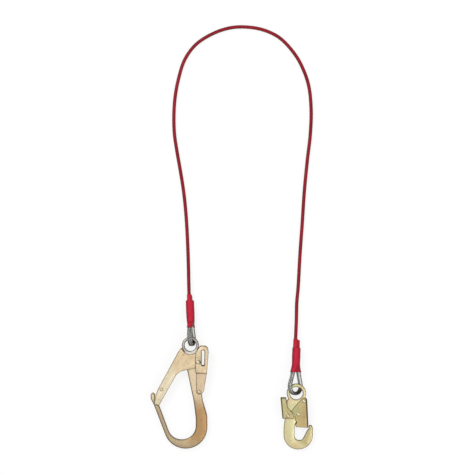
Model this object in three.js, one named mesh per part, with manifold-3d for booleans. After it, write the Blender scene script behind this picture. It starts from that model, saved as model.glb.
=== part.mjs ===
// Coated wire rope lanyard with a large scaffold hook and a small locking snap hook, lying on a flat surface.
// Millimetres, +Z up. The lanyard lies in the XY plane, the rope's bight towards +Y and the hooks towards -Y.
import * as THREE from "three";
import { mergeVertices } from "three/addons/utils/BufferGeometryUtils.js";
import Module from "manifold-3d";

const wasm = await Module();
wasm.setup();

// Clearances between neighbouring pieces
const GAP = 0.3;
const SLIDE_GAP = 0.3;

// Rope: bare strands and plastic coat
const ROPE_RADIUS = 2.8;
const COAT_RADIUS = 3.55;
const ROPE_SIDES = 10;
const CABLE_SIDES = 8;
const CABLE_STEPS = 80;

// Thimble eye: the rope's axis runs round a crown and up two straight legs into the ferrule
const CROWN_RADIUS = 15.5;
const THIMBLE_WALL = 1.5;
const THIMBLE_WRAP_DEG = 112;
const LEG_SPREAD = (ROPE_RADIUS + COAT_RADIUS + GAP) / 2;

// Ferrule, and how far the other pieces start or end from its lower face along the rope
const FERRULE_LENGTH = 32;
const FERRULE_RADIUS = 7.2;
const THIMBLE_SHORT = 11;
const COAT_OFFSET = 34.5;
const TAIL_OFFSET = 45.5;
const SLEEVE_BELOW = 15;
const SLEEVE_ABOVE = 51;
const SLEEVE_WALL = 0.8;
const SLEEVE_GAP = 0.6;

// The two thimble eyes: crown centre, lean of the axis, drop towards the rope, roll about the axis
// and height of the ferrule's lower face over the crown centre
const REBAR_END = { x: -81, y: 71.5, leanDeg: 2.6, dropDeg: 6.4, rollDeg: 75, ferruleFrom: 34.5 };
const SNAP_END = { x: 126.3, y: -26.5, leanDeg: -2, dropDeg: 5, rollDeg: 44, ferruleFrom: 43 };

// Seats of the two hooks: from the crown centre to the centre of the eye's hole, and slope down to the bow
const REBAR_SEAT = { x: -2.1, y: -16.4, slopeDeg: 2.6 };
const SNAP_SEAT = { x: 2.3, y: -13.9, slopeDeg: 4.4 };

// Large hook: plate thicknesses and the faces that slide on each other
const REBAR_THICKNESS = 10;
const REBAR_EDGE = 1.9;
const REBAR_EYE_RADIUS = 11.5;
const REBAR_EYE_RIM = 17.2;
const REBAR_GATE_SHEET = 2;
const REBAR_LEVER_SHEET = 1.5;
const REBAR_GATE_PIVOT = [15, -33.4];
const REBAR_LEVER_PIVOT = [17.4, -92.5];
const REBAR_TIP_RIVET = [-57.5, -88];
const REBAR_RIVET_RADIUS = 2.4;
const REBAR_SMALL_RIVET_RADIUS = 2;
const REBAR_LEVER_TRAVEL_DEG = 2.4;
const REBAR_GATE_BOSS = 5.7;

// Outlines of the large hook's pieces: x and y from the eye's centre, and fillet radius of each corner
const REBAR_BODY_CORNERS = [
  [-14, -4],
  [-12.5, -24, 8],
  [-6.5, -49.4, 20],
  [6.4, -111, 60],
  [10.8, -146, 40],
  [10.4, -188.6, 27],
  [-37.1, -188.6, 27],
  [-62, -121.3, 2.2],
  [-71, -114.4, 1.2],
  [-70.2, -99, 2.4],
  [-73.8, -93.6, 2.8],
  [-79.5, -97.5, 3.2],
  [-79.3, -107, 5],
  [-73.2, -118.8, 8],
  [-39.6, -206.8, 43.2],
  [34.3, -206.8, 43.2],
  [33.6, -140, 34],
  [24.6, -110, 16],
  [23, -98, 10],
  [27.5, -62, 12],
  [27.5, -46.5, 4],
  [20.8, -43, 3],
  [20.8, -14, 6],
  [12, -6],
];
const REBAR_GATE_CORNERS = [
  [-20, -7, 2],
  [-25.5, -15, 5],
  [-66, -89.6, 8],
  [-68.6, -97.5, 3],
  [-72.6, -117, 1.2],
  [-62.6, -120.2, 1.6],
  [-60.2, -116, 3],
  [-28, -58.5, 14],
  [-19.2, -51.6, 8],
  [-9.6, -49.2, 12],
  [11.6, -44.6],
];
const REBAR_LEVER_BACK = [
  [27.2, -91, 2],
  [32.6, -57],
  [33.4, -53.5],
  [36.2, -14, 6],
];
const REBAR_LEVER_TOP = [
  [34.6, -1, 7],
  [19.4, -1, 4],
  [10, -14.6, 3],
];
const REBAR_LEVER_FOOT = [
  [11.6, -97.2, 4.5],
  [22, -97.2, 4],
];
const REBAR_LEVER_SLOT = [
  [22.2, -40.5, 2.8],
  [28, -40.5, 2.8],
  [28.4, -9, 3],
  [22.2, -9, 3],
];

// Small hook
const SNAP_THICKNESS = 9;
const SNAP_EDGE = 1.6;
const SNAP_EYE_RADIUS = 12.8;
const SNAP_EYE_RIM = 19.4;
const SNAP_GATE_SHEET = 1.6;
const SNAP_LOCK_SHEET = 1.5;
const SNAP_GATE_PIVOT = [15, -15.5];
const SNAP_LOCK_PIVOT = [-17, -44.5];
const SNAP_PIN_PLACE = [3.8, -41.8];
const SNAP_RIVET_RADIUS = 2.2;
const SNAP_GATE_TRAVEL_DEG = 20;
const SNAP_GATE_BOSS = 6.8;

// Outlines of the small hook's pieces, in the same way
const SNAP_BODY_CORNERS = [
  [-14, -10],
  [-20.4, -16, 6],
  [-22.4, -46, 30],
  [-25.4, -70, 30],
  [-25.4, -113, 29],
  [33, -113, 29],
  [33, -70, 12],
  [31, -64.4, 2.7],
  [24.9, -64.4, 2.5],
  [24.9, -70.8, 2],
  [21, -76, 2.5],
  [11.5, -94.8, 9],
  [-3.6, -94.8, 9.5],
  [-3.6, -66, 6],
  [16.5, -24, 4],
  [12, -6],
];
const SNAP_GATE_CORNERS = [
  [-9.8, -35, 2],
  [-3, -44.4, 6],
  [-2.4, -53.4, 0.6],
  [1.6, -57.4, 1],
  [-1.6, -61.6, 0.6],
  [-1.8, -67.4, 1.5],
  [24.2, -69, 1.5],
];
const SNAP_LOCK_CORNERS = [
  [-31.8, -9.2, 1.5],
  [-27.8, -50.4, 1.5],
  [-2.4, -50.4, 3],
  [-9.6, -36.4, 3],
  [-17.6, -28, 4],
  [-20.4, -9, 1.5],
];

// Rivet heads and torsion springs
const HEAD_RISE = 1.3;
const HEAD_LIP = 1.5;
const RIVET_SIDES = 16;
const SPRING_WIRE = 1;
const SPRING_PITCH = 1.6;
const SPRING_CURLS = 3;
const SPRING_SLACK = 0.8;

// Route of the coated rope's axis, from the large hook's end to the small hook's end
const ROUTE = [
  [-86.6, 186, 7.7],
  [-87.2, 213, 5],
  [-88.2, 244, 3.7],
  [-90.4, 291.6, 3.6],
  [-93.4, 331.6, 3.6],
  [-97, 363.6, 3.6],
  [-103, 402, 3.6],
  [-110, 442, 3.6],
  [-115, 475.6, 3.6],
  [-116.4, 507.6, 3.6],
  [-114.4, 547, 3.6],
  [-107.6, 586, 3.6],
  [-94, 627.6, 3.6],
  [-71, 658, 3.6],
  [-34, 680.6, 3.6],
  [0, 690.8, 3.6],
  [32, 691.6, 3.6],
  [64, 685.6, 3.6],
  [96, 669.6, 3.6],
  [127, 635.6, 3.6],
  [144, 603.6, 3.6],
  [154, 571.6, 3.6],
  [158.4, 525.6, 3.6],
  [156.6, 475.6, 3.6],
  [151, 427.6, 3.6],
  [144.8, 363.6, 3.6],
  [140.6, 299.6, 3.6],
  [136, 235.6, 3.6],
  [132.4, 171.6, 3.6],
  [129.6, 139.6, 4],
  [128.8, 107.6, 5.6],
];

const ARC_TOLERANCE = 0.12;
const RIGHT_ANGLE = Math.PI / 2;
const radians = THREE.MathUtils.degToRad;

const finishes = {
  coat: { color: 0xa81c22, roughness: 0.45, metalness: 0 },
  sleeve: { color: 0xb8242f, roughness: 0.5, metalness: 0 },
  galvanised: { color: 0x9a9b98, roughness: 0.4, metalness: 0.9 },
  copper: { color: 0xb0754a, roughness: 0.35, metalness: 0.9 },
  zinc: { color: 0xcdb98a, roughness: 0.4, metalness: 0.8 },
  spring: { color: 0x77787a, roughness: 0.3, metalness: 1 },
};

// Named mesh of a geometry in one of the finishes.
function piece(name, geometry, finish) {
  const mesh = new THREE.Mesh(geometry, new THREE.MeshStandardMaterial(finishes[finish]));
  mesh.name = name;
  return mesh;
}

// Closed geometry as a solid that can be cut and joined.
function toSolid(geometry) {
  const flat = geometry.index ? geometry.toNonIndexed() : geometry;
  const bare = new THREE.BufferGeometry().setAttribute("position", flat.getAttribute("position"));
  const merged = mergeVertices(bare, 1e-4);
  const triVerts = new Uint32Array(merged.index.array);
  const vertProperties = merged.attributes.position.array;
  return new wasm.Manifold(new wasm.Mesh({ numProp: 3, vertProperties, triVerts }));
}

// Solid back as a geometry with flat facets.
function toGeometry(solid) {
  const mesh = solid.getMesh();
  const geometry = new THREE.BufferGeometry()
    .setAttribute("position", new THREE.BufferAttribute(new Float32Array(mesh.vertProperties), 3))
    .setIndex(new THREE.BufferAttribute(mesh.triVerts, 1))
    .toNonIndexed();
  geometry.computeVertexNormals();
  return geometry;
}

const join = (...geometries) => toGeometry(geometries.map(toSolid).reduce((all, next) => all.add(next)));

const cut = (geometry, ...tools) =>
  toGeometry(tools.map(toSolid).reduce((left, tool) => left.subtract(tool), toSolid(geometry)));

// Points along an arc, close enough together to keep to the tolerance.
function arc(x, y, radius, from, to) {
  const step = 2 * Math.acos(Math.max(0.86, 1 - ARC_TOLERANCE / Math.max(radius, ARC_TOLERANCE)));
  const count = Math.max(1, Math.ceil(Math.abs(to - from) / step));
  return Array.from({ length: count + 1 }, (_, i) => {
    const angle = from + ((to - from) * i) / count;
    return new THREE.Vector2(x + radius * Math.cos(angle), y + radius * Math.sin(angle));
  });
}

const circle = ([x, y], radius) => arc(x, y, radius, 0, 2 * Math.PI).slice(1);

// Closed outline through corners given as x, y and fillet radius.
function rounded(corners) {
  return corners.flatMap(([x, y, radius = 0], i) => {
    const here = new THREE.Vector2(x, y);
    if (!radius) return [here];
    const [beforeX, beforeY] = corners.at(i - 1);
    const [afterX, afterY] = corners[(i + 1) % corners.length];
    const back = new THREE.Vector2(beforeX - x, beforeY - y).normalize();
    const on = new THREE.Vector2(afterX - x, afterY - y).normalize();
    const half = Math.acos(THREE.MathUtils.clamp(back.dot(on), -1, 1)) / 2;
    const centre = back.clone().add(on).setLength(radius / Math.sin(half)).add(here);
    const turn = Math.PI - 2 * half;
    const way = Math.sign(back.cross(on)) || 1;
    const start = back.multiplyScalar(radius / Math.tan(half)).add(here).sub(centre).angle();
    return arc(centre.x, centre.y, radius, start, start - way * turn);
  });
}

// Points as corners without a fillet.
const sharp = (points) => points.map(({ x, y }) => [x, y]);

// Point between two corners.
const between = ([fromX, fromY], [toX, toY], share) => [
  THREE.MathUtils.lerp(fromX, toX, share),
  THREE.MathUtils.lerp(fromY, toY, share),
];

// Flat plate between two heights, with chamfered or rounded edges.
function plate(outer, holes, low, high, edge = 0, edgeSteps = 1) {
  const shape = new THREE.Shape(outer);
  shape.holes = holes.map((hole) => new THREE.Path(hole));
  return new THREE.ExtrudeGeometry(shape, {
    depth: high - low - 2 * edge,
    bevelEnabled: edge > 0,
    bevelSize: edge,
    bevelThickness: edge,
    bevelOffset: -edge,
    bevelSegments: edgeSteps,
  }).translate(0, 0, low + edge);
}

// The same plate on both sides of the middle plane.
const pairOfPlates = (outer, holes, inner, sheet) => [
  plate(outer, holes, inner, inner + sheet),
  plate(outer, holes, -inner - sheet, -inner),
];

const post = ([x, y], radius, low, high) =>
  new THREE.CylinderGeometry(radius, radius, high - low, RIVET_SIDES)
    .rotateX(RIGHT_ANGLE)
    .translate(x, y, (low + high) / 2);

// Tool for a hole that a rivet turns in, through everything up to a reach on both sides.
const rivetHole = (place, radius, reach) => post(place, radius + GAP, -reach - 1, reach + 1);

// Rivet with a low domed head at each end.
function rivet([x, y], radius, reach) {
  const head = radius + HEAD_LIP;
  const dome = [
    [head, reach],
    [head * 0.86, reach + HEAD_RISE * 0.6],
    [head * 0.5, reach + HEAD_RISE],
    [0, reach + HEAD_RISE],
  ];
  const upper = [[radius, reach], ...dome];
  const lower = upper.map(([r, h]) => [r, -h]).reverse();
  const profile = [...lower, ...upper].map(([r, h]) => new THREE.Vector2(r, h));
  return new THREE.LatheGeometry(profile, RIVET_SIDES).rotateX(RIGHT_ANGLE).translate(x, y, 0);
}

// Section swept along points that never run straight up, with mitred corners and flat ends.
// A section point's x is the height above the path and its y is the reach to the path's left.
function sweep(section, path) {
  const up = new THREE.Vector3(0, 0, 1);
  const positions = [];
  const sides = section.length;
  path.forEach((here, i) => {
    const from = path[Math.max(i - 1, 0)];
    const to = path[Math.min(i + 1, path.length - 1)];
    const before = here.clone().sub(from).normalize();
    const after = to.clone().sub(here).normalize();
    const along = before.clone().add(after).normalize();
    const mitre = i > 0 && i < path.length - 1 ? along.dot(after) : 1;
    const left = up.clone().cross(along).normalize();
    const rise = along.clone().cross(left).normalize();
    for (const point of section) {
      const corner = here.clone().addScaledVector(rise, point.x).addScaledVector(left, point.y / mitre);
      positions.push(corner.x, corner.y, corner.z);
    }
  });
  const index = [];
  for (let ring = 0; ring < path.length - 1; ring += 1) {
    for (let side = 0; side < sides; side += 1) {
      const a = ring * sides + side;
      const b = ring * sides + ((side + 1) % sides);
      index.push(a, a + sides, b, b, a + sides, b + sides);
    }
  }
  const last = (path.length - 1) * sides;
  for (const [a, b, c] of THREE.ShapeUtils.triangulateShape(section, [])) {
    index.push(a, b, c, last + a, last + c, last + b);
  }
  const geometry = new THREE.BufferGeometry().setIndex(index);
  geometry.setAttribute("position", new THREE.Float32BufferAttribute(positions, 3));
  return geometry.toNonIndexed();
}

// Regular section of a rope or wire.
const roundSection = (radius, sides) =>
  Array.from({ length: sides }, (_, i) => {
    const angle = (2 * Math.PI * (i + 0.5)) / sides;
    return new THREE.Vector2(radius * Math.cos(angle), radius * Math.sin(angle));
  });

// Where the leg on the side of positive x leaves the crown.
function legFoot(ferruleFrom) {
  const reach = Math.hypot(LEG_SPREAD, ferruleFrom);
  const touch = Math.atan2(ferruleFrom, LEG_SPREAD) - Math.acos(CROWN_RADIUS / reach);
  return { touch, x: CROWN_RADIUS * Math.cos(touch), y: CROWN_RADIUS * Math.sin(touch) };
}

// Distance of a leg's axis from the eye's axis at a height between the crown and the ferrule.
function legReach(height, ferruleFrom) {
  const foot = legFoot(ferruleFrom);
  const share = Math.min(1, (height - foot.y) / (ferruleFrom - foot.y));
  return THREE.MathUtils.lerp(foot.x, LEG_SPREAD, share);
}

// Half of the eye, from the crown's lowest point up to a height on the leg, on the side of positive x.
function halfEye(top, ferruleFrom) {
  const crown = arc(0, 0, CROWN_RADIUS, -RIGHT_ANGLE, legFoot(ferruleFrom).touch);
  const knee = Math.min(top, ferruleFrom);
  const straight = top > ferruleFrom ? [new THREE.Vector2(LEG_SPREAD, top)] : [];
  return [...crown, new THREE.Vector2(legReach(knee, ferruleFrom), knee), ...straight];
}

// Whole eye from the left leg's top round the crown to the right leg's top.
function eyePath(leftTop, rightTop, ferruleFrom) {
  const left = halfEye(leftTop, ferruleFrom).map((p) => new THREE.Vector3(-p.x, p.y, 0)).reverse();
  const right = halfEye(rightTop, ferruleFrom).map((p) => new THREE.Vector3(p.x, p.y, 0));
  return [...left, ...right.slice(1)];
}

// Stripped rope through the ferrule, round the thimble and back to its dead end.
function ropeEye(ferruleFrom) {
  const path = eyePath(ferruleFrom + COAT_OFFSET - GAP, ferruleFrom + TAIL_OFFSET, ferruleFrom);
  return sweep(roundSection(ROPE_RADIUS, ROPE_SIDES), path);
}

// Channel bent round the rope, open to the outside of the eye.
function thimble(ferruleFrom) {
  const inner = ROPE_RADIUS + GAP;
  const wrap = radians(THIMBLE_WRAP_DEG);
  const outside = arc(0, 0, inner + THIMBLE_WALL, RIGHT_ANGLE - wrap, RIGHT_ANGLE + wrap);
  const inside = arc(0, 0, inner, RIGHT_ANGLE + wrap, RIGHT_ANGLE - wrap);
  const top = ferruleFrom - THIMBLE_SHORT;
  return sweep([...outside, ...inside], eyePath(top, top, ferruleFrom));
}

// Swaged ferrule with a bore for each leg.
function ferrule(ferruleFrom) {
  const chamfer = 1;
  const top = ferruleFrom + FERRULE_LENGTH;
  const barrel = plate(circle([0, 0], FERRULE_RADIUS), [], ferruleFrom + GAP, top, chamfer);
  const bore = (x) => post([x, 0], ROPE_RADIUS + GAP, ferruleFrom, top + 1);
  return cut(barrel, bore(-LEG_SPREAD), bore(LEG_SPREAD)).rotateX(-RIGHT_ANGLE);
}

// Ring of points of a rounded oblong, for one station of the sleeve.
const oblong = (halfWidth, halfHeight, corner) =>
  [[1, -1], [1, 1], [-1, 1], [-1, -1]].flatMap(([sx, sy], quarter) =>
    Array.from({ length: 4 }, (_, i) => {
      const angle = RIGHT_ANGLE * (quarter - 1 + i / 3);
      const x = sx * (halfWidth - corner) + corner * Math.cos(angle);
      return new THREE.Vector2(x, sy * (halfHeight - corner) + corner * Math.sin(angle));
    }),
  );

// Shrunk sleeve over the legs, the ferrule and the dead end, open at both ends.
function shrinkSleeve(ferruleFrom) {
  const skin = SLEEVE_GAP + SLEEVE_WALL;
  const pairWidth = LEG_SPREAD + (ROPE_RADIUS + COAT_RADIUS) / 2 + skin;
  const pairShift = (ROPE_RADIUS - COAT_RADIUS) / 2;
  const coat = COAT_RADIUS + skin;
  const barrel = FERRULE_RADIUS + skin;
  const throat = ROPE_RADIUS + THIMBLE_WALL + skin;
  const low = ferruleFrom - SLEEVE_BELOW;
  const overLegs = (height) => legReach(height, ferruleFrom) + throat;
  const ferruleTop = ferruleFrom + FERRULE_LENGTH;
  const tailTop = ferruleFrom + TAIL_OFFSET;
  const stations = [
    { y: low, x: 0, width: overLegs(low), height: throat + 0.6, corner: 4.2 },
    { y: low + 7, x: 0, width: overLegs(low + 7), height: throat + 0.5, corner: 4.4 },
    { y: ferruleFrom - 2, x: 0, width: barrel - 0.2, height: barrel - 0.6, corner: 6 },
    { y: ferruleFrom + 2, x: 0, width: barrel, height: barrel, corner: barrel },
    { y: ferruleFrom + 16, x: 0, width: barrel + 0.3, height: barrel + 0.3, corner: barrel + 0.3 },
    { y: ferruleTop - 1, x: 0, width: barrel, height: barrel, corner: barrel },
    { y: ferruleTop + 3, x: pairShift, width: pairWidth, height: coat + 0.2, corner: coat },
    { y: tailTop + 0.6, x: pairShift, width: pairWidth, height: coat, corner: coat },
    { y: tailTop + 3, x: pairShift - 0.9, width: pairWidth - 1, height: coat, corner: coat },
    { y: ferruleFrom + SLEEVE_ABOVE, x: -LEG_SPREAD, width: coat + 0.1, height: coat + 0.1, corner: coat },
  ];
  const ring = ({ y, x, width, height, corner }, inset) =>
    oblong(width - inset, height - inset, corner - inset).map((p) => [p.x + x, y, p.y]);
  const rings = [...stations.map((s) => ring(s, 0)), ...stations.map((s) => ring(s, SLEEVE_WALL)).reverse()];
  return closedLoft(rings);
}

// Skin over rings that follow one another and close on the first.
function closedLoft(rings) {
  const sides = rings[0].length;
  const index = rings.flatMap((_, ring) =>
    Array.from({ length: sides }, (_, side) => {
      const here = ring * sides;
      const there = ((ring + 1) % rings.length) * sides;
      const next = (side + 1) % sides;
      return [here + side, there + side, here + next, here + next, there + side, there + next];
    }).flat(),
  );
  const geometry = new THREE.BufferGeometry().setIndex(index);
  geometry.setAttribute("position", new THREE.Float32BufferAttribute(rings.flat(2), 3));
  return geometry.toNonIndexed();
}

// Thimble eye with its ferrule and sleeve, resting on the floor.
function ropeEnd(name, place) {
  const group = new THREE.Group();
  group.add(piece(`${name}_rope_eye`, ropeEye(place.ferruleFrom), "galvanised"));
  group.add(piece(`${name}_thimble`, thimble(place.ferruleFrom), "galvanised"));
  group.add(piece(`${name}_ferrule`, ferrule(place.ferruleFrom), "copper"));
  group.add(piece(`${name}_shrink_sleeve`, shrinkSleeve(place.ferruleFrom), "sleeve"));
  group.rotation.set(-radians(place.dropDeg), radians(place.rollDeg), radians(place.leanDeg), "ZXY");
  return restAt(group, place);
}

// Group moved over its place with its lowest point on the floor.
function restAt(group, { x, y }) {
  group.position.set(x, y, 0);
  group.updateMatrixWorld(true);
  group.position.z -= new THREE.Box3().setFromObject(group, true).min.z;
  return group;
}

// Tool for a hole with softened rims, right through a plate of a given thickness.
function softHole([x, y], radius, thickness, edge) {
  const face = thickness / 2;
  const side = [
    [radius, 0],
    [radius, face - edge],
    [radius + edge * 0.3, face - edge * 0.3],
    [radius + edge, face],
    [radius + edge * 1.6, face + edge * 0.6],
    [0, face + edge * 0.6],
  ];
  const profile = [...side.map(([r, h]) => [r, -h]).reverse(), ...side.slice(1)];
  return new THREE.LatheGeometry(profile.map(([r, h]) => new THREE.Vector2(r, h)), 28)
    .rotateX(RIGHT_ANGLE)
    .translate(x, y, 0);
}

// Strip of sheet along a line of points, on the line's left.
function strip(points, width) {
  const line = points.map(([x, y]) => new THREE.Vector2(x, y));
  const offset = line.map((here, i) => {
    const before = here.clone().sub(line[Math.max(i - 1, 0)]).normalize();
    const after = line[Math.min(i + 1, line.length - 1)].clone().sub(here).normalize();
    const along = before.clone().add(after).normalize();
    const mitre = Math.max(along.dot(before), along.dot(after));
    return new THREE.Vector2(here.x - (along.y * width) / mitre, here.y + (along.x * width) / mitre);
  });
  return [...line, ...offset.reverse()];
}

// Radii of a torsion spring round a rivet and of the pocket that holds it.
const springRadius = (rivetRadius) => rivetRadius + (SPRING_SLACK + SPRING_WIRE) / 2;
const pocketRadius = (rivetRadius) => springRadius(rivetRadius) + (SPRING_SLACK + SPRING_WIRE) / 2;
const SPRING_HEIGHT = SPRING_CURLS * SPRING_PITCH + SPRING_WIRE;

// Pocket sunk into the upper face for a spring.
const pocket = (place, rivetRadius, face) =>
  post(place, pocketRadius(rivetRadius), face - SPRING_HEIGHT - 2 * GAP, face + 1);

// Least gap between the turns of a wound wire, from points at least three quarters of a turn apart.
function turnGap(points, wire) {
  const apart = points.flatMap((here, i) => points.slice(i + 6).map((there) => here.distanceTo(there)));
  return Math.min(...apart) - wire;
}

// Torsion spring in its pocket, with a straight end at each turn.
function torsionSpring([x, y], rivetRadius, face) {
  const radius = springRadius(rivetRadius);
  const steps = 8 * SPRING_CURLS;
  const bottom = face - GAP - SPRING_HEIGHT + SPRING_WIRE / 2;
  const wound = Array.from({ length: steps + 1 }, (_, i) => {
    const angle = (2 * Math.PI * i) / 8;
    const height = bottom + (SPRING_PITCH * i) / 8;
    return new THREE.Vector3(x + radius * Math.cos(angle), y + radius * Math.sin(angle), height);
  });
  const first = wound[0].clone().add(new THREE.Vector3(0, -SPRING_WIRE, 0));
  const last = wound[steps].clone().add(new THREE.Vector3(0, SPRING_WIRE, 0));
  console.log(`torsion spring at ${x}, ${y}: least gap ${turnGap(wound, SPRING_WIRE).toFixed(2)} mm`);
  return sweep(roundSection(SPRING_WIRE / 2, 5), [first, ...wound, last]);
}

// Large hook's forged body: eye, spine, bow and the nose with its tongue.
function rebarBody() {
  const half = REBAR_THICKNESS / 2;
  const rim = plate(circle([0, 0], REBAR_EYE_RIM), [], -half, half, REBAR_EDGE, 2);
  const spine = plate(rounded(REBAR_BODY_CORNERS), [], -half, half, REBAR_EDGE, 2);
  return cut(
    join(rim, spine),
    softHole([0, 0], REBAR_EYE_RADIUS, REBAR_THICKNESS, REBAR_EDGE),
    rivetHole(REBAR_GATE_PIVOT, REBAR_RIVET_RADIUS, half),
    rivetHole(REBAR_LEVER_PIVOT, REBAR_SMALL_RIVET_RADIUS, half),
    pocket(REBAR_GATE_PIVOT, REBAR_RIVET_RADIUS, half),
    pocket(REBAR_LEVER_PIVOT, REBAR_SMALL_RIVET_RADIUS, half),
  );
}

const REBAR_GATE_INNER = REBAR_THICKNESS / 2 + SLIDE_GAP;
const REBAR_GATE_OUTER = REBAR_GATE_INNER + REBAR_GATE_SHEET;
const REBAR_LEVER_INNER = REBAR_GATE_OUTER + SLIDE_GAP;
const REBAR_LEVER_OUTER = REBAR_LEVER_INNER + REBAR_LEVER_SHEET;

// Large hook's gate: two cheeks beside the body, joined by a web along the outer edge.
function rebarGate() {
  const [pivotX, pivotY] = REBAR_GATE_PIVOT;
  const cheek = rounded([
    ...sharp(arc(pivotX, pivotY, REBAR_GATE_BOSS, radians(-66), radians(52))),
    ...sharp(arc(0, 0, REBAR_EYE_RIM + 2 * GAP, radians(-38), radians(-164))),
    ...REBAR_GATE_CORNERS,
  ]);
  const [, top, bend, low, toe] = REBAR_GATE_CORNERS;
  const outerEdge = [top, bend, low, between(low, toe, 0.3)];
  const web = plate(strip(outerEdge, REBAR_GATE_SHEET), [], -REBAR_GATE_OUTER, REBAR_GATE_OUTER);
  return cut(
    join(...pairOfPlates(cheek, [], REBAR_GATE_INNER, REBAR_GATE_SHEET), web),
    rivetHole(REBAR_GATE_PIVOT, REBAR_RIVET_RADIUS, REBAR_GATE_OUTER),
    rivetHole(REBAR_TIP_RIVET, REBAR_SMALL_RIVET_RADIUS, REBAR_GATE_OUTER),
  );
}

// Large hook's lock lever: cheeks that step out over the gate, a web at the back and the slot.
function rebarLever() {
  const [footBack] = REBAR_LEVER_FOOT;
  const [topFront] = REBAR_LEVER_TOP.slice(-1);
  const step = REBAR_LEVER_BACK[2];
  const upper = rounded([[topFront[0], step[1]], ...REBAR_LEVER_BACK.slice(2), ...REBAR_LEVER_TOP]);
  const lower = rounded([[footBack[0], step[1]], ...REBAR_LEVER_FOOT, ...REBAR_LEVER_BACK.slice(0, 3)]);
  const [pivotX, pivotY] = REBAR_GATE_PIVOT;
  const slip = Math.sin(radians(REBAR_LEVER_TRAVEL_DEG)) * (pivotY - REBAR_LEVER_PIVOT[1]);
  const hole = REBAR_RIVET_RADIUS + GAP;
  const rivetSlot = rounded([
    [pivotX - hole, pivotY - hole, hole - 0.1],
    [pivotX + hole + slip, pivotY - hole, hole - 0.1],
    [pivotX + hole + slip, pivotY + hole, hole - 0.1],
    [pivotX - hole, pivotY + hole, hole - 0.1],
  ]);
  const wall = [
    [footBack[0], step[1] - REBAR_LEVER_SHEET],
    [step[0] - 2 * GAP, step[1] - REBAR_LEVER_SHEET],
    step,
    [footBack[0], step[1]],
  ].map(([x, y]) => new THREE.Vector2(x, y));
  const backWeb = strip(REBAR_LEVER_BACK, REBAR_LEVER_SHEET);
  const upperWeb = strip(REBAR_LEVER_BACK.slice(2), REBAR_LEVER_SHEET);
  return cut(
    join(
      ...pairOfPlates(upper, [rounded(REBAR_LEVER_SLOT), rivetSlot], REBAR_LEVER_INNER, REBAR_LEVER_SHEET),
      ...pairOfPlates(lower, [], REBAR_GATE_INNER, REBAR_LEVER_SHEET),
      ...pairOfPlates(wall, [], REBAR_GATE_INNER, REBAR_LEVER_OUTER - REBAR_GATE_INNER),
      plate(backWeb, [], -REBAR_GATE_INNER - 1, REBAR_GATE_INNER + 1),
      plate(upperWeb, [], -REBAR_LEVER_OUTER, REBAR_LEVER_OUTER),
    ),
    rivetHole(REBAR_LEVER_PIVOT, REBAR_SMALL_RIVET_RADIUS, REBAR_LEVER_OUTER),
  );
}

// Small hook's forged body: eye, shank, bow and nose.
function snapBody() {
  const half = SNAP_THICKNESS / 2;
  const rim = plate(circle([0, 0], SNAP_EYE_RIM), [], -half, half, SNAP_EDGE, 2);
  const lobe = plate(circle(SNAP_GATE_PIVOT, SNAP_GATE_BOSS - 1), [], -half, half, 1);
  const shank = plate(rounded(SNAP_BODY_CORNERS), [], -half, half, SNAP_EDGE, 2);
  return cut(
    join(rim, lobe, shank),
    softHole([0, 0], SNAP_EYE_RADIUS, SNAP_THICKNESS, SNAP_EDGE),
    plate(pinSlot(), [], -half - 1, half + 1),
    rivetHole(SNAP_GATE_PIVOT, SNAP_RIVET_RADIUS, half),
    rivetHole(SNAP_LOCK_PIVOT, SNAP_RIVET_RADIUS, half),
    pocket(SNAP_GATE_PIVOT, SNAP_RIVET_RADIUS, half),
    pocket(SNAP_LOCK_PIVOT, SNAP_RIVET_RADIUS, half),
  );
}

// Open slot in the shank that the lock pin runs along as the gate swings.
function pinSlot() {
  const [x, y] = SNAP_GATE_PIVOT;
  const pin = new THREE.Vector2(...SNAP_PIN_PLACE).sub(new THREE.Vector2(x, y));
  const radius = pin.length();
  const width = SNAP_RIVET_RADIUS + 2 * GAP;
  const from = pin.angle() + radians(20);
  const to = pin.angle() - radians(SNAP_GATE_TRAVEL_DEG);
  const end = new THREE.Vector2(x + radius * Math.cos(to), y + radius * Math.sin(to));
  return [
    ...arc(x, y, radius + width, to, from),
    ...arc(x, y, radius - width, from, to),
    ...arc(end.x, end.y, width, to - Math.PI, to).slice(1, -1),
  ];
}

const SNAP_GATE_INNER = SNAP_THICKNESS / 2 + SLIDE_GAP;
const SNAP_GATE_OUTER = SNAP_GATE_INNER + SNAP_GATE_SHEET;
const SNAP_LOCK_INNER = SNAP_GATE_OUTER + SLIDE_GAP;
const SNAP_LOCK_OUTER = SNAP_LOCK_INNER + SNAP_LOCK_SHEET;

// Small hook's gate: two cheeks joined by a web along the outer edge.
function snapGate() {
  const [pivotX, pivotY] = SNAP_GATE_PIVOT;
  const cheek = rounded([
    ...sharp(arc(pivotX, pivotY, SNAP_GATE_BOSS, 0, radians(135))),
    ...SNAP_GATE_CORNERS,
  ]);
  const toe = SNAP_GATE_CORNERS.at(-1);
  const boss = [pivotX + SNAP_GATE_BOSS, pivotY];
  const outerEdge = [between(toe, boss, 0.03), between(toe, boss, 0.83)];
  const web = plate(strip(outerEdge, SNAP_GATE_SHEET), [], -SNAP_GATE_OUTER, SNAP_GATE_OUTER);
  return cut(
    join(...pairOfPlates(cheek, [], SNAP_GATE_INNER, SNAP_GATE_SHEET), web),
    rivetHole(SNAP_GATE_PIVOT, SNAP_RIVET_RADIUS, SNAP_GATE_OUTER),
    rivetHole(SNAP_PIN_PLACE, SNAP_RIVET_RADIUS, SNAP_GATE_OUTER),
  );
}

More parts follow.
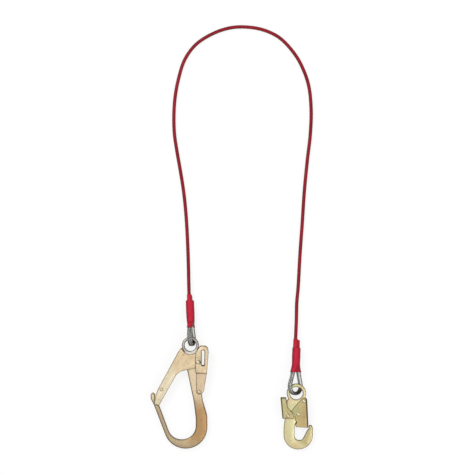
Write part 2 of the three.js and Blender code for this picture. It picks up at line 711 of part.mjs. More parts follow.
// Small hook's lock: two cheeks over the gate's, joined by the thumb plate at the back.
function snapLock() {
  const [thumbTop, thumbLow] = SNAP_LOCK_CORNERS;
  const backEdge = [between(thumbTop, thumbLow, 0.04), between(thumbTop, thumbLow, 0.96)];
  return cut(
    join(
      ...pairOfPlates(rounded(SNAP_LOCK_CORNERS), [], SNAP_LOCK_INNER, SNAP_LOCK_SHEET),
      plate(strip(backEdge, SNAP_LOCK_SHEET), [], -SNAP_LOCK_OUTER, SNAP_LOCK_OUTER),
    ),
    rivetHole(SNAP_LOCK_PIVOT, SNAP_RIVET_RADIUS, SNAP_LOCK_OUTER),
  );
}

// Large hook with everything that is riveted to it.
function rebarHook() {
  const group = new THREE.Group();
  const face = REBAR_THICKNESS / 2;
  group.add(piece("rebar_hook_body", rebarBody(), "zinc"));
  group.add(piece("rebar_gate", rebarGate(), "zinc"));
  group.add(piece("rebar_lock_lever", rebarLever(), "zinc"));
  const gateRivet = rivet(REBAR_GATE_PIVOT, REBAR_RIVET_RADIUS, REBAR_LEVER_OUTER + GAP);
  const leverReach = REBAR_GATE_INNER + REBAR_LEVER_SHEET + GAP;
  const leverRivet = rivet(REBAR_LEVER_PIVOT, REBAR_SMALL_RIVET_RADIUS, leverReach);
  const tipRivet = rivet(REBAR_TIP_RIVET, REBAR_SMALL_RIVET_RADIUS, REBAR_GATE_OUTER + GAP);
  group.add(piece("rebar_gate_rivet", gateRivet, "zinc"));
  group.add(piece("rebar_lever_rivet", leverRivet, "zinc"));
  group.add(piece("rebar_gate_tip_rivet", tipRivet, "zinc"));
  const gateSpring = torsionSpring(REBAR_GATE_PIVOT, REBAR_RIVET_RADIUS, face);
  const leverSpring = torsionSpring(REBAR_LEVER_PIVOT, REBAR_SMALL_RIVET_RADIUS, face);
  group.add(piece("rebar_gate_spring", gateSpring, "spring"));
  group.add(piece("rebar_lever_spring", leverSpring, "spring"));
  group.rotation.x = radians(REBAR_SEAT.slopeDeg);
  return restAt(group, { x: REBAR_END.x + REBAR_SEAT.x, y: REBAR_END.y + REBAR_SEAT.y });
}

// Small hook with everything that is riveted to it.
function snapHook() {
  const group = new THREE.Group();
  const face = SNAP_THICKNESS / 2;
  group.add(piece("snap_hook_body", snapBody(), "zinc"));
  group.add(piece("snap_gate", snapGate(), "zinc"));
  group.add(piece("snap_lock_lever", snapLock(), "zinc"));
  const gateRivet = rivet(SNAP_GATE_PIVOT, SNAP_RIVET_RADIUS, SNAP_GATE_OUTER + GAP);
  const lockRivet = rivet(SNAP_LOCK_PIVOT, SNAP_RIVET_RADIUS, SNAP_LOCK_OUTER + GAP);
  const lockPin = rivet(SNAP_PIN_PLACE, SNAP_RIVET_RADIUS, SNAP_GATE_OUTER + GAP);
  group.add(piece("snap_gate_rivet", gateRivet, "zinc"));
  group.add(piece("snap_lock_rivet", lockRivet, "zinc"));
  group.add(piece("snap_lock_pin", lockPin, "zinc"));
  const gateSpring = torsionSpring(SNAP_GATE_PIVOT, SNAP_RIVET_RADIUS, face);
  const lockSpring = torsionSpring(SNAP_LOCK_PIVOT, SNAP_RIVET_RADIUS, face);
  group.add(piece("snap_gate_spring", gateSpring, "spring"));
  group.add(piece("snap_lock_spring", lockSpring, "spring"));
  group.rotation.x = radians(SNAP_SEAT.slopeDeg);
  return restAt(group, { x: SNAP_END.x + SNAP_SEAT.x, y: SNAP_END.y + SNAP_SEAT.y });
}

// Points on the axis of a rope end's live leg, from inside the sleeve to just past it.
const exitPoints = (end, { ferruleFrom }) =>
  [COAT_OFFSET, COAT_OFFSET + 9, SLEEVE_ABOVE + 4].map((height) =>
    end.localToWorld(new THREE.Vector3(-LEG_SPREAD, ferruleFrom + height, 0)),
  );

// Coated rope between the two ends, laid along its route.
function cable(rebarEnd, snapEnd) {
  const route = [
    ...exitPoints(rebarEnd, REBAR_END),
    ...ROUTE.map((point) => new THREE.Vector3(...point)),
    ...exitPoints(snapEnd, SNAP_END).reverse(),
  ];
  const shape = new THREE.Shape(roundSection(COAT_RADIUS, CABLE_SIDES));
  const extrudePath = new THREE.CatmullRomCurve3(route, false, "centripetal");
  return new THREE.ExtrudeGeometry(shape, { steps: CABLE_STEPS, extrudePath });
}

const rebarEnd = ropeEnd("rebar", REBAR_END);
const snapEnd = ropeEnd("snap", SNAP_END);
const hardware = new THREE.Group();
hardware.add(rebarEnd, snapEnd, rebarHook(), snapHook());
const middle = new THREE.Box3().setFromObject(hardware, true).getCenter(new THREE.Vector3());
const lanyard = new THREE.Group();
lanyard.add(hardware, piece("cable", cable(rebarEnd, snapEnd), "coat"));
lanyard.position.set(-middle.x, -middle.y, 0);
export default lanyard;
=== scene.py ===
import math

import bpy
from mathutils import Matrix, Vector, noise


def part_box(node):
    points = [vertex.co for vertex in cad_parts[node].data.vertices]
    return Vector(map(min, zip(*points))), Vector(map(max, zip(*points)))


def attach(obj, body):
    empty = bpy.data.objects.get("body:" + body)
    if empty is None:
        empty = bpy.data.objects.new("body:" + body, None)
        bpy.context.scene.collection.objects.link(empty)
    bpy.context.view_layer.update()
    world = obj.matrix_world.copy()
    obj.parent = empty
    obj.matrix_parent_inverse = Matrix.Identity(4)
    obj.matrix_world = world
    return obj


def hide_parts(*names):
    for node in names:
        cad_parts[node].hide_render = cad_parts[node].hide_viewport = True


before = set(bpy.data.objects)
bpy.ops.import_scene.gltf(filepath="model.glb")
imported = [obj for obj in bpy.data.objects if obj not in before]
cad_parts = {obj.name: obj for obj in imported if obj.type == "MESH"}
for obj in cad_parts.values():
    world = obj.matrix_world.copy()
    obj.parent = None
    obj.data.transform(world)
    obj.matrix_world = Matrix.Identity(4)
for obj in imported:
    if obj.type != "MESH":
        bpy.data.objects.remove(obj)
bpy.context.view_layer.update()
scene = bpy.context.scene
scene.view_settings.view_transform = "Standard"

# Camera straight above the middle of the picture: 2 mm to a pixel at the hooks' height
SENSOR_WIDTH = 36
CAMERA_HEIGHT = 6
SCALE_HEIGHT = 0.008
PICTURE_WIDTH = 0.95
PICTURE_MIDDLE = (0.01148, 0.26859)

camera_data = bpy.data.cameras.new("camera")
camera_data.sensor_width = SENSOR_WIDTH
camera_data.lens = SENSOR_WIDTH * (CAMERA_HEIGHT - SCALE_HEIGHT) / PICTURE_WIDTH
camera = bpy.data.objects.new("camera", camera_data)
camera.location = (*PICTURE_MIDDLE, CAMERA_HEIGHT)
scene.collection.objects.link(camera)
scene.camera = camera

# Sizes that the pieces share with the construction, in metres
ROPE_RADIUS = 0.0028
COAT_RADIUS = 0.00355
GAP = 0.0003
CROWN_RADIUS = 0.0155
THIMBLE_WALL = 0.0015
LEG_SPREAD = (ROPE_RADIUS + COAT_RADIUS + GAP) / 2
FERRULE_LENGTH = 0.032
FERRULE_RADIUS = 0.0072
THIMBLE_SHORT = 0.011
COAT_OFFSET = 0.0345
TAIL_OFFSET = 0.0455
SLEEVE_BELOW = 0.015
SLEEVE_ABOVE = 0.051
SLEEVE_WALL = 0.0006
SLEEVE_GAP = 0.0003

# The two rope ends: turns in degrees, distance from the crown's centre to the ferrule, and how far
# past the ferrule the sleeve keeps its full width
ENDS = {
    "rebar": {"crown": (-0.080518, 0.069492, 0.017752), "lean": 2.6, "drop": 6.4, "roll": 75,
              "ferrule_from": 0.0345, "shoulder": 0.0056},
    "snap": {"crown": (0.126782, -0.028508, 0.01505), "lean": -2, "drop": 5, "roll": 44,
             "ferrule_from": 0.043, "shoulder": 0.0006},
}

# Route of the coated rope's axis, from the large hook's sleeve to the small hook's
ROUTE = [
    (-0.0845, 0.13831, 0.01325), (-0.08491, 0.14724, 0.01225), (-0.08543, 0.15866, 0.01097),
    (-0.08612, 0.18399, 0.0077), (-0.08672, 0.21099, 0.005), (-0.08772, 0.24199, 0.0037),
    (-0.08992, 0.28959, 0.0036), (-0.09292, 0.32959, 0.0036), (-0.09652, 0.36159, 0.0036),
    (-0.10252, 0.39999, 0.0036), (-0.10952, 0.43999, 0.0036), (-0.11452, 0.47359, 0.0036),
    (-0.11592, 0.50559, 0.0036), (-0.11392, 0.54499, 0.0036), (-0.10712, 0.58399, 0.0036),
    (-0.09352, 0.62559, 0.0036), (-0.07052, 0.65599, 0.0036), (-0.03352, 0.67859, 0.0036),
    (0.00048, 0.68879, 0.0036), (0.03248, 0.68959, 0.0036), (0.06448, 0.68359, 0.0036),
    (0.09648, 0.66759, 0.0036), (0.12748, 0.63359, 0.0036), (0.14448, 0.60159, 0.0036),
    (0.15448, 0.56959, 0.0036), (0.15888, 0.52359, 0.0036), (0.15708, 0.47359, 0.0036),
    (0.15148, 0.42559, 0.0036), (0.14528, 0.36159, 0.0036), (0.14108, 0.29759, 0.0036),
    (0.13648, 0.23359, 0.0036), (0.13288, 0.16959, 0.0036), (0.13008, 0.13759, 0.004),
    (0.12928, 0.10559, 0.0056), (0.12781, 0.06934, 0.00881), (0.12741, 0.05789, 0.00981),
    (0.12709, 0.04893, 0.0106),
]


def colour(red, green, blue):
    """Screen values from 0 to 255 as the linear colour that shaders take."""
    def channel(value):
        share = value / 255
        return share / 12.92 if share <= 0.04045 else ((share + 0.055) / 1.055) ** 2.4
    return (channel(red), channel(green), channel(blue), 1)


def darker(shade, share):
    """A linear colour times a share."""
    return (*(share * channel for channel in shade[:3]), 1)


# Node helpers

# Cosines between an edge's rounded normal and its true one, where its dark rim of painted shade begins and
# is full
EDGE_START = 0.9985
EDGE_FULL = 0.965


class Nodes:
    """A material's node tree, with short calls for the nodes that the finishes use."""

    def __init__(self, name):
        self.material = bpy.data.materials.new(name)
        self.material.use_nodes = True
        self.tree = self.material.node_tree
        self.shader = self.tree.nodes["Principled BSDF"]
        self.rounded = None

    def add(self, kind, **settings):
        """A new node of a kind, with its settings."""
        node = self.tree.nodes.new(kind)
        for key, value in settings.items():
            setattr(node, key, value)
        return node

    def link(self, source, target):
        """Wire an output to an input."""
        self.tree.links.new(source, target)

    def place(self, scale=(1, 1, 1)):
        """Coordinates of the piece in the shared frame, stretched by a scale."""
        coordinates = self.add("ShaderNodeTexCoord")
        mapping = self.add("ShaderNodeMapping")
        mapping.inputs["Scale"].default_value = scale
        self.link(coordinates.outputs["Object"], mapping.inputs["Vector"])
        return mapping.outputs["Vector"]

    def noise(self, vector, scale, detail=3, roughness=0.55):
        """Cloudy values about a half, finer at a higher scale."""
        node = self.add("ShaderNodeTexNoise")
        node.inputs["Scale"].default_value = scale
        node.inputs["Detail"].default_value = detail
        node.inputs["Roughness"].default_value = roughness
        self.link(vector, node.inputs["Vector"])
        return node.outputs["Fac"]

    def ramp(self, value, stops):
        """Colour that changes with a value, by stops of a value and its colour."""
        node = self.add("ShaderNodeValToRGB")
        elements = node.color_ramp.elements
        while len(elements) < len(stops):
            elements.new(0.5)
        for element, (position, shade) in zip(elements, stops):
            element.position = position
            element.color = shade
        self.link(value, node.inputs["Fac"])
        return node.outputs["Color"]

    def remap(self, value, low, high, new_low, new_high):
        """A value moved from one range to another and held inside it."""
        node = self.add("ShaderNodeMapRange")
        node.inputs["From Min"].default_value = low
        node.inputs["From Max"].default_value = high
        node.inputs["To Min"].default_value = new_low
        node.inputs["To Max"].default_value = new_high
        self.link(value, node.inputs["Value"])
        return node.outputs["Result"]

    def mix(self, factor, first, second):
        """Two colours mixed by a factor, each of them an output or a plain value."""
        node = self.add("ShaderNodeMix", data_type="RGBA")
        sockets = (node.inputs["Factor"], node.inputs[6], node.inputs[7])
        for socket, value in zip(sockets, (factor, first, second)):
            if isinstance(value, (int, float, tuple)):
                socket.default_value = value
            else:
                self.link(value, socket)
        return node.outputs[2]

    def bump(self, heights):
        """Bumps in series over any rounded edges, each as height, strength and distance."""
        normal = self.rounded
        for height, strength, distance in heights:
            node = self.add("ShaderNodeBump")
            node.inputs["Strength"].default_value = strength
            node.inputs["Distance"].default_value = distance
            self.link(height, node.inputs["Height"])
            if normal is not None:
                self.link(normal, node.inputs["Normal"])
            normal = node.outputs["Normal"]
        self.link(normal, self.shader.inputs["Normal"])

    def edges(self, reach):
        """Share from 0 on flat faces to 1 on edges, which then shade as rounded ones and get a dark rim of
        painted shade.
        """
        bevel = self.add("ShaderNodeBevel", samples=6)
        bevel.inputs["Radius"].default_value = reach
        self.rounded = bevel.outputs["Normal"]
        geometry = self.add("ShaderNodeNewGeometry")
        dot = self.add("ShaderNodeVectorMath", operation="DOT_PRODUCT")
        self.link(bevel.outputs["Normal"], dot.inputs[0])
        self.link(geometry.outputs["Normal"], dot.inputs[1])
        # The dark rim is painted shade; noise breaks it up a little
        rim_break = self.remap(self.noise(self.place(), 190, 3), 0.35, 0.6, 0.78, 1.0)
        edge_shade = self.add("ShaderNodeMath", operation="MULTIPLY")
        self.link(self.remap(dot.outputs["Value"], EDGE_START, EDGE_FULL, 0, 1), edge_shade.inputs[0])
        self.link(rim_break, edge_shade.inputs[1])
        return edge_shade.outputs[0]

    def sides(self, share, start=0.8, full=0.35):
        """Share on faces that stand on edge, which the callers paint darker as painted shade.

        It begins where the normal's height is start and is whole where that is full."""
        geometry = self.add("ShaderNodeNewGeometry")
        split = self.add("ShaderNodeSeparateXYZ")
        self.link(geometry.outputs["Normal"], split.inputs["Vector"])
        level = self.add("ShaderNodeMath", operation="ABSOLUTE")
        self.link(split.outputs["Z"], level.inputs[0])
        return self.remap(level.outputs[0], start, full, 0, share)

    def near(self, vector, centre, reach):
        """Share from 1 at a place to 0 at a distance from it, with a wandering rim."""
        apart = self.add("ShaderNodeVectorMath", operation="DISTANCE")
        self.link(vector, apart.inputs[0])
        apart.inputs[1].default_value = centre
        wander = self.add("ShaderNodeMath", operation="ADD")
        self.link(apart.outputs["Value"], wander.inputs[0])
        rim = self.remap(self.noise(vector, 60, 3), 0, 1, -0.2 * reach, 0.2 * reach)
        self.link(rim, wander.inputs[1])
        return self.remap(wander.outputs[0], 0.6 * reach, reach, 1, 0)

    def along(self, vector, start, end, reach):
        """Share from most of 1 at an upright plane through two places to 0 at a distance from it."""
        across = Vector((start[1] - end[1], end[0] - start[0], 0)).normalized()
        dot = self.add("ShaderNodeVectorMath", operation="DOT_PRODUCT")
        self.link(vector, dot.inputs[0])
        dot.inputs[1].default_value = across
        apart = self.add("ShaderNodeMath", operation="SUBTRACT")
        self.link(dot.outputs["Value"], apart.inputs[0])
        apart.inputs[1].default_value = across.x * start[0] + across.y * start[1]
        size = self.add("ShaderNodeMath", operation="ABSOLUTE")
        self.link(apart.outputs[0], size.inputs[0])
        return self.remap(size.outputs[0], 0.55 * reach, reach, 0.85, 0)

    def set(self, **values):
        """Plain values on the shader's inputs, by name."""
        for key, value in values.items():
            self.shader.inputs[key.replace("_", " ")].default_value = value


def zinc(name, pale, tan, green, dark, edge=0.0046, forged=True, spots=(), folds=(),
         side_shade=(0.65, 0.8, 0.35)):
    """Yellow passivated zinc: cloudy hue, tints at spots, painted shade in folds, on edges and flanks,
    stains, pits and scuffs.
    """
    n = Nodes(name)
    where = n.place()
    cloud = n.noise(where, 26, 3)
    base = n.ramp(cloud, [(0.36, tan), (0.5, pale), (0.66, green)])
    for centre, reach, shade in spots:
        base = n.mix(n.near(where, centre, reach), base, shade)
    # Painted shadow along the folds
    for start, end, reach in folds:
        base = n.mix(n.along(where, start, end, reach), base, dark)
    stain = n.remap(n.noise(where, 170, 5, 0.65), 0.55, 0.75, 0, 0.3)
    base = n.mix(stain, base, dark)
    pits = n.remap(n.noise(where, 1300, 3, 0.7), 0.56, 0.72, 0, 0.4)
    base = n.mix(pits, base, dark)
    # Painted shade on faces that stand on edge, and a dark rim of painted shade along the edges
    base = n.mix(n.sides(*side_shade), base, dark)
    n.link(n.mix(n.edges(edge), base, darker(dark, 0.25)), n.shader.inputs["Base Color"])
    if not forged:
        n.rounded = None
    n.set(Metallic=0.85, Specular_IOR_Level=0.5)
    rub = n.noise(n.place((1, 0.12, 1)), 500, 4, 0.6)
    n.link(n.remap(rub, 0.3, 0.7, 0.28, 0.48), n.shader.inputs["Roughness"])
    n.bump([
        (cloud, 0.2, 0.0012),
        (n.noise(where, 380, 3), 0.3, 0.00022),
        (rub, 0.12, 0.00006),
        (pits, 0.25, 0.00005),
    ])
    return n.material


def galvanised(name, pale, dark, roughness=0.26, metallic=0.9, side_shade=0.8, spots=()):
    """Dull zinc on steel: faint spangle, darker dust in patches, painted shade at spots and on faces on
    edge.
    """
    n = Nodes(name)
    where = n.place()
    black = darker(dark, 0.3)
    cells = n.add("ShaderNodeTexVoronoi")
    cells.inputs["Scale"].default_value = 320
    n.link(where, cells.inputs["Vector"])
    base = n.mix(n.remap(cells.outputs["Distance"], 0.1, 0.8, 0, 0.3), pale, dark)
    for centre, reach, shade in spots:
        base = n.mix(n.near(where, centre, reach), base, shade)
    soot = n.remap(n.noise(where, 160, 4, 0.6), 0.5, 0.75, 0, 0.4)
    base = n.mix(soot, base, black)
    # Painted shade on faces that stand on edge
    n.link(n.mix(n.sides(side_shade, 0.94, 0.55), base, black), n.shader.inputs["Base Color"])
    n.set(Metallic=metallic)
    n.link(n.remap(soot, 0, 0.4, roughness, roughness + 0.2), n.shader.inputs["Roughness"])
    n.bump([(n.noise(where, 700, 3), 0.1, 0.0001)])
    return n.material


# Painted shade on the flanks of coat and sleeves, as sides() takes it, and their dull shine
ROPE_SIDE_SHADE = (0.72, 0.97, 0.4)
ROPE_SHINE = 0.14


def coat(name, light, deep):
    """Extruded plastic coat: even red with scuffs and a faint ripple."""
    n = Nodes(name)
    where = n.place()
    scuff = n.noise(where, 600, 5, 0.7)
    base = n.mix(n.remap(n.noise(where, 30, 3), 0.3, 0.7, 0, 1), light, deep)
    base = n.mix(n.remap(scuff, 0.6, 0.8, 0, 0.16), base, colour(190, 110, 112))
    # Painted shade on the flanks
    base = n.mix(n.sides(*ROPE_SIDE_SHADE), base, darker(deep, 0.3))
    n.link(base, n.shader.inputs["Base Color"])
    n.link(n.remap(scuff, 0.3, 0.75, 0.42, 0.6), n.shader.inputs["Roughness"])
    n.set(Specular_IOR_Level=ROPE_SHINE)
    n.bump([(n.noise(where, 260, 3), 0.2, 0.00015), (scuff, 0.12, 0.00005)])
    return n.material


def sleeve_finish(name, light, deep):
    """Shrunk sleeve: semi gloss red, drawn lines along it and small wrinkles across."""
    n = Nodes(name)
    where = n.place()
    along = n.noise(n.place((3, 0.25, 3)), 240, 4)
    small = n.noise(where, 700, 4, 0.65)
    base = n.mix(n.remap(along, 0.35, 0.7, 0, 1), light, deep)
    base = n.mix(n.remap(small, 0.62, 0.8, 0, 0.15), base, colour(214, 110, 120))
    # Painted shade on the flanks
    base = n.mix(n.sides(*ROPE_SIDE_SHADE), base, darker(deep, 0.3))
    n.link(base, n.shader.inputs["Base Color"])
    n.link(n.remap(small, 0.3, 0.7, 0.4, 0.56), n.shader.inputs["Roughness"])
    n.set(Specular_IOR_Level=ROPE_SHINE)
    n.bump([(along, 0.3, 0.0004), (n.noise(where, 160, 2), 0.35, 0.0008), (small, 0.15, 0.00006)])
    return n.material


def plain_metal(name, shade, dark, roughness):
    """Small metal parts: drawn wire, swaged copper alloy and bright rivets."""
    n = Nodes(name)
    where = n.place()
    fine = n.noise(where, 1100, 4, 0.7)
    base = n.mix(n.remap(fine, 0.4, 0.75, 0, 0.6), shade, dark)
    black = darker(dark, 0.25)
    # Painted shade on faces that stand on edge, and a dark rim of painted shade along the edges
    base = n.mix(n.sides(0.85), base, black)
    n.link(n.mix(n.edges(0.0013), base, black), n.shader.inputs["Base Color"])
    n.link(n.remap(fine, 0.3, 0.7, roughness - 0.05, roughness + 0.12), n.shader.inputs["Roughness"])
    n.set(Metallic=0.85)
    n.bump([(fine, 0.25, 0.00006)])
    return n.material


# Tints at spots, as centre, reach and colour: the bow's heel browner and darker as painted shade, the large
# eye silvery, the gate's mark dark as the painted shade of a small dimple and the crowns dark as painted
# shade where ring and thimble meet. Folds are upright planes, as two places and a reach, painted dark as
# shadow in the folds.
REBAR_SPOTS = (
    # Painted shade: the bow's heel browner and darker
    ((-0.110, -0.130, 0.01), 0.100, colour(192, 171, 137)),
    ((-0.050, -0.104, 0.01), 0.056, colour(180, 144, 100)),
    ((-0.0826, 0.0531, 0.014), 0.023, colour(208, 205, 198)),
)
GATE_SPOTS = (
    ((-0.086, 0.022, 0.02), 0.046, colour(216, 194, 158)),
    # Painted shade of a small dimple in the gate
    ((-0.0968, 0.0348, 0.023), 0.0031, colour(104, 88, 62)),
)
SNAP_SPOTS = (
    ((0.1535, -0.1304, 0.01), 0.026, colour(194, 180, 132)),
    ((0.1155, -0.0540, 0.015), 0.011, colour(222, 202, 162)),
)
SNAP_GATE_SPOTS = (
    ((0.1500, -0.0980, 0.015), 0.024, colour(192, 170, 121)),
    ((0.1280, -0.0800, 0.015), 0.013, colour(190, 184, 132)),
)
# Painted shadow along folded edges of the small hook
SNAP_FOLD_SHADOWS = (
    ((0.1487, -0.0550), (0.1521, -0.1100), 0.0017),
    ((0.0992, -0.0516), (0.1024, -0.0928), 0.0012),
)
# Painted shade where each ring and thimble crown meet
CROWN_SHADE_SPOTS = (
    ((-0.0800, 0.0540, 0.016), 0.013, colour(92, 91, 86)),
    ((0.1265, -0.0440, 0.015), 0.015, colour(112, 113, 116)),
)

FINISHES = {
    "rebar_zinc": zinc("large_hook_zinc", colour(228, 206, 174), colour(222, 196, 160),
                       colour(222, 206, 168), colour(78, 58, 34), spots=REBAR_SPOTS,
                       side_shade=(0.68, 0.99, 0.8)),
    "rebar_sheet": zinc("large_gate_zinc", colour(230, 216, 188), colour(226, 206, 172),
                        colour(226, 214, 180), colour(86, 68, 44), edge=0.0027, forged=False,
                        spots=GATE_SPOTS),
    "rebar_lever": zinc("large_lever_zinc", colour(222, 201, 168), colour(222, 192, 160),
                        colour(218, 204, 164), colour(82, 64, 40), edge=0.0027, forged=False),
    "snap_zinc": zinc("small_hook_zinc", colour(220, 209, 162), colour(220, 196, 150),
                      colour(212, 207, 160), colour(72, 62, 32), edge=0.0030, spots=SNAP_SPOTS),
    "snap_sheet": zinc("small_gate_zinc", colour(200, 183, 132), colour(198, 170, 124),
                       colour(194, 187, 136), colour(56, 42, 20), edge=0.0028, forged=False,
                       spots=SNAP_GATE_SPOTS, folds=SNAP_FOLD_SHADOWS),
    "galvanised": galvanised("galvanised", colour(188, 188, 184), colour(132, 132, 130),
                             spots=CROWN_SHADE_SPOTS),
    "strand": galvanised("strand", colour(168, 168, 166), colour(132, 132, 132), roughness=0.55,
                         metallic=0.5, side_shade=0.15),
    "copper": plain_metal("ferrule_copper", colour(196, 132, 92), colour(120, 70, 44), 0.35),
    "rivet": plain_metal("rivet", colour(222, 212, 178), colour(150, 136, 98), 0.28),
    "spring": plain_metal("spring_steel", colour(150, 150, 152), colour(80, 80, 82), 0.3),
    "coat": coat("red_coat", colour(152, 28, 40), colour(126, 20, 32)),
    "sleeve": sleeve_finish("red_sleeve", colour(198, 32, 56), colour(170, 24, 48)),
}


# Mesh helpers

# Steps along the rope: even ones for its mesh, and finer ones where its curve is worked out
ROUTE_STEP = 0.002
DENSE_STEP = 0.001
UP = Vector((0, 0, 1))


def mesh_piece(name, vertices, faces, finish):
    """Object of a mesh in the shared frame, with one of the finishes."""
    mesh = bpy.data.meshes.new(name)
    mesh.from_pydata([tuple(v) for v in vertices], [], faces)
    mesh.validate()
    mesh.shade_smooth()
    mesh.materials.append(FINISHES[finish])
    piece = bpy.data.objects.new(name, mesh)
    scene.collection.objects.link(piece)
    return piece


def skin(rings, closed=False):
    """Vertices and faces of a tube through rings of points, closed on itself or capped at its ends."""
    sides = len(rings[0])
    vertices = [p for ring in rings for p in ring]
    count = len(rings) if closed else len(rings) - 1
    faces = []
    for ring in range(count):
        here, there = ring * sides, ((ring + 1) % len(rings)) * sides
        for side in range(sides):
            after = (side + 1) % sides
            faces.append((here + side, here + after, there + after, there + side))
    if not closed:
        faces.append(tuple(reversed(range(sides))))
        faces.append(tuple((len(rings) - 1) * sides + side for side in range(sides)))
    return vertices, faces


def end_matrix(name):
    """Place of a rope end's own axes: crown centre at the origin and +Y towards the rope."""
    end = ENDS[name]
    lean = Matrix.Rotation(math.radians(end["lean"]), 4, "Z")
    drop = Matrix.Rotation(math.radians(-end["drop"]), 4, "X")
    roll = Matrix.Rotation(math.radians(end["roll"]), 4, "Y")
    return Matrix.Translation(end["crown"]) @ lean @ drop @ roll


def smooth_route(points):
    """The centripetal spline through the points, sampled evenly."""
    points = [Vector(p) for p in points]
    padded = [2 * points[0] - points[1], *points, 2 * points[-1] - points[-2]]
    dense = []
    for p0, p1, p2, p3 in zip(padded, padded[1:], padded[2:], padded[3:]):
        t0 = 0
        t1 = t0 + (p1 - p0).length ** 0.5
        t2 = t1 + (p2 - p1).length ** 0.5
        t3 = t2 + (p3 - p2).length ** 0.5
        count = max(4, int((p2 - p1).length / DENSE_STEP))
        for i in range(count):
            t = t1 + (t2 - t1) * i / count
            a1 = p0 * ((t1 - t) / (t1 - t0)) + p1 * ((t - t0) / (t1 - t0))
            a2 = p1 * ((t2 - t) / (t2 - t1)) + p2 * ((t - t1) / (t2 - t1))
            a3 = p2 * ((t3 - t) / (t3 - t2)) + p3 * ((t - t2) / (t3 - t2))
            b1 = a1 * ((t2 - t) / (t2 - t0)) + a2 * ((t - t0) / (t2 - t0))
            b2 = a2 * ((t3 - t) / (t3 - t1)) + a3 * ((t - t1) / (t3 - t1))
            dense.append(b1 * ((t2 - t) / (t2 - t1)) + b2 * ((t - t1) / (t2 - t1)))
    dense.append(points[-1])
    return resample(dense, ROUTE_STEP)


def resample(points, step):
    """Points at even distances along a line of points, its two ends kept."""
    lengths = [0.0]
    for a, b in zip(points, points[1:]):
        lengths.append(lengths[-1] + (b - a).length)
    count = max(2, round(lengths[-1] / step))
    result, at = [], 0
    for i in range(count + 1):
        want = lengths[-1] * i / count
        while at < len(points) - 2 and lengths[at + 1] < want:
            at += 1
        span = lengths[at + 1] - lengths[at]
        share = (want - lengths[at]) / span if span else 0
        result.append(points[at].lerp(points[at + 1], min(1, max(0, share))))
    return result


def frames(points):
    """Each point of a line, with its tangent, side and rise."""
    result = []
    for i, here in enumerate(points):
        along = (points[min(i + 1, len(points) - 1)] - points[max(i - 1, 0)]).normalized()
        side = UP.cross(along).normalized()
        result.append((here, along, side, along.cross(side)))
    return result


def tube(points, radius_at, sides):
    """Rings round a line, with a radius that depends on the distance along and the angle."""
    rings, distance = [], 0
    line = frames(points)
    for i, (here, _, side, rise) in enumerate(line):
        if i:
            distance += (here - line[i - 1][0]).length
        ring = []
        for k in range(sides):
            angle = 2 * math.pi * k / sides
            radius = radius_at(distance, angle)
            ring.append(here + side * (radius * math.cos(angle)) + rise * (radius * math.sin(angle)))
        rings.append(ring)
    return rings


# Coated rope: the strands' lay shows faintly through the coat

STRANDS = 6
LAY_LENGTH = 0.038
LAY_RELIEF = 0.00007
COAT_INSET = 0.00009
COAT_SIDES = 24


def coat_radius(distance, angle):
    """Radius of the coat at a distance along the rope and an angle round it."""
    lay = math.cos(STRANDS * (angle - 2 * math.pi * distance / LAY_LENGTH))
    return COAT_RADIUS - COAT_INSET + LAY_RELIEF * lay


route = smooth_route(ROUTE)
cable = mesh_piece("coated_rope", *skin(tube(route, coat_radius, COAT_SIDES)), "coat")
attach(cable, "lanyard")
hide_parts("cable")


# Rope eyes, thimbles and sleeves

# Strands: steps round the crown and along them, sides, thickness as shares of the rope's radius, turns
# in each lay length, relief of their wires and how fast that changes along them
CROWN_STEPS = 40
STRAND_STEP = 0.0012
STRAND_SIDES = 8
STRAND_SHARE = 0.335
CORE_SHARE = 0.36
STRAND_TURNS = 1.5
WIRE_RELIEF = 0.06
WIRE_PITCH = 5200

# Thimble: steps along it, how far its channel wraps to each side, and its dents' depth as a share
THIMBLE_STEP = 0.0009
THIMBLE_WRAP = math.radians(112)
DENTS = 0.012

# Sleeve: sections along it, points round it, height of its wrinkles as a share, rounding of its mouth
SLEEVE_STEPS = 120
SLEEVE_SIDES = 48
WRINKLES = 0.03
MOUTH_ROUND = 0.00022


def leg_foot(ferrule_from):
    """Where a straight leg leaves the crown: its angle there and the place."""
    reach = math.hypot(LEG_SPREAD, ferrule_from)
    touch = math.atan2(ferrule_from, LEG_SPREAD) - math.acos(CROWN_RADIUS / reach)
    return touch, CROWN_RADIUS * math.cos(touch), CROWN_RADIUS * math.sin(touch)


def leg_reach(height, ferrule_from):
    """Half the distance between the two legs' axes at a height."""
    _, foot_x, foot_y = leg_foot(ferrule_from)
    share = min(1, (height - foot_y) / (ferrule_from - foot_y))
    return foot_x + (LEG_SPREAD - foot_x) * share


def eye_line(left_top, right_top, ferrule_from, step):
    """Axis of the rope in the eye's own plane, from the left leg's top round the crown to the right's."""
    touch = leg_foot(ferrule_from)[0]
    half = []
    for i in range(CROWN_STEPS + 1):
        angle = -math.pi / 2 + (touch + math.pi / 2) * i / CROWN_STEPS
        half.append((CROWN_RADIUS * math.cos(angle), CROWN_RADIUS * math.sin(angle)))

    def side(top):
        """Half of the crown and the leg above it, up to the leg's top."""
        knee = min(top, ferrule_from)
        points = half + [(leg_reach(knee, ferrule_from), knee)]
        return points + [(LEG_SPREAD, top)] if top > ferrule_from else points

    left = [Vector((-x, y, 0)) for x, y in reversed(side(left_top))]
    right = [Vector((x, y, 0)) for x, y in side(right_top)]
    return resample(left + right[1:], step)


